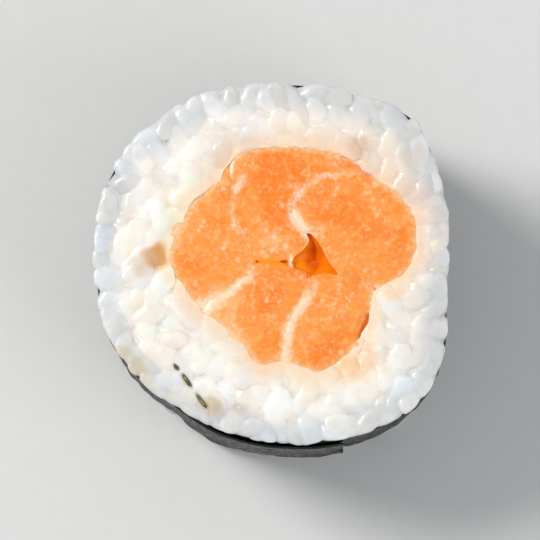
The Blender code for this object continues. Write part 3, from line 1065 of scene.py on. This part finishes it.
def press(points, down):
    """Flattens the grains where the knife or the board pressed them."""
    level = ROLL_TOP - PRESS_DEPTH
    over = points[:, 2] > level
    points[over, 2] = level + eased(points[over, 2] - level, PRESS_ROOM)
    to_salmon = np.maximum(past_salmon(points[:, :2])[0], 0)
    near = bell(to_salmon, SALMON_PRESS_REACH)
    level = SALMON_TOP + SALMON_PRESS_LEVEL
    points[:, 2] -= SALMON_PRESS_SHARE * near * np.maximum(points[:, 2] - level, 0)
    if down:
        points[:, 2] = np.minimum(points[:, 2], ROLL_TOP - FOOT_PRESS)


def eased(excess, room):
    """What is left of an excess that softly meets a limit."""
    return room * (1 - np.exp(-np.maximum(excess, 0) / room))


def confine(points, nori_edge):
    """Keeps the rice between the nori and the salmon, but for what spills over."""
    flat = points * (1, 1, 0)
    # Above the nori's edge the rice reaches nearly to the nori's outer side.
    away, direction = polar(points[:, :2])
    over = smoothstep((points[:, 2] - nori_edge + 0.1) / 0.3)
    spill = NORI_THICKNESS - 0.1 + SPILL_UNEVEN * lumps(flat, 1.5, 96)
    spill += SPILL_LEAN * np.sin(np.radians(direction - 30))
    most = radius_at(ROLL_TABLE, direction) - NORI_THICKNESS - NORI_ROOM + spill * over
    room = NORI_SOFTNESS[0] + NORI_SOFTNESS[1] * over
    pulled = np.minimum(away, most) + eased(away - most, room)
    points[:, :2] *= (pulled / np.maximum(away, 1e-6))[:, None]
    # Above the salmon it laps over the border where the lobes say so.
    flat = points * (1, 1, 0)
    away, direction = polar(points[:, :2], HUB)
    over = smoothstep((points[:, 2] - SALMON_TOP + 0.25) / 0.25)
    spill = radius_at(SPILL_TABLE, direction)
    pushed_out = np.maximum(-spill, 0)
    spill += pushed_out + SPILL_UNEVEN * lumps(flat, 1.4, 97)
    spill += SPILL_UNEVEN * lumps(flat, 0.6, 98)
    least = radius_at(BUNDLE_TABLE, direction) + SALMON_GAP + pushed_out - spill * over
    room = SALMON_SOFTNESS[0] + SALMON_SOFTNESS[1] * over
    pushed = np.maximum(away, least) - eased(least - away, room)
    points[:, :2] = HUB + (points[:, :2] - HUB) * (pushed / np.maximum(away, 1e-6))[:, None]


def rice_tint(points, owner, shades, down):
    """Each point's uneven colour, grey at the rim, with the salmon's orange painted
    beside it as a reflection and painted shade darker to one side, and how milky it is.
    """
    away, direction = polar(points[:, :2])
    to_rim = radius_at(ROLL_TABLE, direction) - away
    to_salmon, direction = past_salmon(points[:, :2])
    to_salmon = np.maximum(to_salmon, 0)
    patch = lumps(points, 2.8, 80)
    rim = smoothstep((RIM_WIDTH - to_rim + 0.8 * patch) / RIM_FADE)[:, None]
    # Painted reflection of the salmon's orange on the rice beside it.
    salmon_reflection = bell(to_salmon, REFLECTION_REACH[0] + REFLECTION_REACH[1] * patch)[:, None]
    salmon_reflection *= 1 - 0.4 * np.maximum(np.cos(np.radians(direction)), 0)[:, None] ** 6
    # Painted reflection, stronger at the salmon's border.
    edge = bell(to_salmon, EDGE_REFLECTION_REACH[0] + EDGE_REFLECTION_REACH[1] * patch)[:, None]
    tint = RICE_WHITE * np.ones((len(points), 1))
    tint += rim * (RIM_GREY - tint)
    tint += 0.9 * salmon_reflection * (SALMON_REFLECTION - tint)
    tint += 0.55 * edge * (SALMON_EDGE_REFLECTION - tint)
    # Painted shade: darker towards one side of the roll and lighter towards the other, as the
    # light falls.
    tint *= 1 - 0.04 * np.cos(np.radians(direction - 35))[:, None]
    grain = shades[owner]
    tint *= 1 + 0.045 * grain[:, :1]
    tint *= 1 + (0.05 * patch + 0.06 * lumps(points, 5.0, 79))[:, None]
    tint *= 1 + 0.02 * grain[:, 1:] * np.array((1.0, 0.0, -1.2))
    milky = smoothstep(to_salmon / 1.3)
    if not down:
        # Patches painted on the upper face; a few are painted shade of recesses.
        for number, (place, size, colour, strength) in enumerate(RICE_PATCHES):
            gap = np.hypot(*(points[:, :2] - place).T) + 0.6 * lumps(points, 1.0, 81 + number)
            share = strength * smoothstep(1.4 - gap / size)[:, None]
            tint += share * (np.array(colour) - tint)
            milky *= 1 - 0.6 * share[:, 0]
    return np.clip(tint, 0, 0.97), milky


def make_rice_face(name, material, down):
    """The grains at one cut face, fused with each other like sticky rice."""
    draw = np.random.default_rng(SEED + down)
    grains = Grains(draw)
    skin, faces = grains.skin()
    fillings = [
        ring_prism(ROLL_TOP - foot, ROLL_TOP - top, roll_loop(inset), bundle_loop(outset))
        for foot, top, inset, outset in RICE_FILLINGS
    ]
    foot, top, start, end = LAP_RING
    loops = (bundle_loop(start), bundle_loop(end))
    fillings.append(ring_prism(ROLL_TOP - foot, SALMON_TOP + top, *loops))
    for filling, filling_faces in fillings:
        faces += [[corner + len(skin) for corner in face] for face in filling_faces]
        skin = np.vstack([skin, filling])
    piece = piece_from(name, closed_mesh(name, skin, faces))
    remesh(piece, RICE_VOXEL, RICE_SMOOTHING)
    points = read_points(piece.data) / MM
    hidden = points[:, 2] < ROLL_TOP - RICE_HIDDEN_DEPTH
    normals = read_normals(piece.data)
    owner, margin = grains.nearest(points)
    crease = bell(margin, CREASE_WIDTH)
    relief = GRAIN_RELIEF * lumps(points, 0.9, 90) - CREASE_DEPTH * crease
    points += normals * relief[:, None]
    press(points, down)
    lower_edge = ROLL_TOP - FOOT_PRESS - NORI_FOOT - NORI_FOOT_LIFT
    confine(points, lower_edge if down else NORI_TOP)
    if not down:
        open_tuck(points)
    tint, milky = rice_tint(points, owner, grains.shades, down)
    if down:
        points[:, 2] = ROLL_TOP - FOOT_PRESS - points[:, 2]
        piece.data.flip_normals()
    points[:, :2] += AXIS
    write_points(piece.data, points * MM)
    paint(piece.data, "tint", tint)
    paint(piece.data, "milky", milky)
    thin_out(piece, hidden, RICE_KEPT)
    finish_piece(piece, "rice", material, "rice")


def open_tuck(points):
    """Parts the grains in a few places over the nori's tucked edge."""
    path = nori_path(np.linspace(NORI_TUCK_START - 1, NORI_TUCK_END - 6, 12))
    gap = line_distance(points[:, :2], path)
    drop = np.zeros(len(points))
    for sight, reach in TUCK_SIGHTS:
        away = np.hypot(*(points[:, :2] - sight).T)
        shape = np.exp(-((away / reach) ** 4) - (gap / TUCK_GAP) ** 2)
        drop = np.maximum(drop, TUCK_GAP_DEPTH * shape)
    upper = points[:, 2] > NORI_TOP - TUCK_GAP_DEPTH
    points[upper, 2] -= drop[upper]


def make_rice_core(material):
    """The plain rice between the two faces of grains."""
    foot, drop, inset, outset = CORE_RING
    loops = (roll_loop(inset), bundle_loop(outset))
    points, faces = ring_prism(foot, ROLL_TOP - drop, *loops)
    points[:, :2] += AXIS
    mesh = closed_mesh("rice_core", points, faces)
    piece = piece_from("rice_core", mesh)
    paint(mesh, "tint", np.full((len(points), 3), CORE_SHADE))
    finish_piece(piece, "rice", material, "rice")


# ---- stage ------------------------------------------------------------------
def make_floor():
    """A plain pale floor."""
    bpy.ops.mesh.primitive_plane_add(size=FLOOR_SIZE)
    floor = bpy.context.object
    floor.name = "floor"
    look = Shader("floor")
    grain = look.noise(look.position(), 1.5, 3.0)
    look.set(
        Base_Color=look.mix(grain, (0.70, 0.70, 0.69, 1), (0.74, 0.74, 0.73, 1)),
        Roughness=0.6,
    )
    floor.data.materials.append(look.material)


def make_light(name, place, size, power, colour=(1, 1, 1)):
    """A round soft light that faces the foot of the roll."""
    lamp = bpy.data.lights.new(name, "AREA")
    lamp.shape = "DISK"
    lamp.size = size
    lamp.energy = power
    lamp.color = colour
    made = bpy.data.objects.new(name, lamp)
    bpy.context.scene.collection.objects.link(made)
    made.location = place
    made.rotation_euler = (-made.location).to_track_quat("-Z", "Y").to_euler()


def make_camera():
    """Looks down on the roll from the front, nearly from above."""
    aim = Vector((0, 0, ROLL_TOP * MM * CAMERA_AIM))
    pitch = math.radians(CAMERA_ELEVATION)
    away = Vector((0, -math.cos(pitch), math.sin(pitch))) * CAMERA_DISTANCE
    lens = bpy.data.cameras.new("camera")
    lens.lens = lens.sensor_width * CAMERA_DISTANCE / CAMERA_VIEW
    lens.clip_start = 0.01
    camera = bpy.data.objects.new("camera", lens)
    bpy.context.scene.collection.objects.link(camera)
    camera.location = aim + away
    camera.rotation_euler = (-away).to_track_quat("-Z", "Y").to_euler()
    bpy.context.scene.camera = camera


def make_world():
    """Pale light from all sides."""
    world = bpy.data.worlds.new("studio")
    world.use_nodes = True
    sky = world.node_tree.nodes["Background"]
    sky.inputs["Color"].default_value = (0.95, 0.97, 1.0, 1)
    sky.inputs["Strength"].default_value = 0.40
    bpy.context.scene.world = world
    bpy.context.scene.view_settings.view_transform = "Standard"


make_floor()
make_light("key", (-0.26, 0.14, 0.45), 0.16, 1.85, (1.0, 0.985, 0.96))
make_light("fill", (0.35, -0.2, 0.35), 0.35, 0.7, (0.94, 0.97, 1.0))
make_world()
make_camera()

make_nori()
flesh = salmon_material()
for strip_number in range(len(SALMON_NODES)):
    make_salmon_strip(strip_number, flesh)
rice = rice_material()
make_rice_core(rice)
make_rice_face("rice_upper_grains", rice, False)
make_rice_face("rice_lower_grains", rice, True)
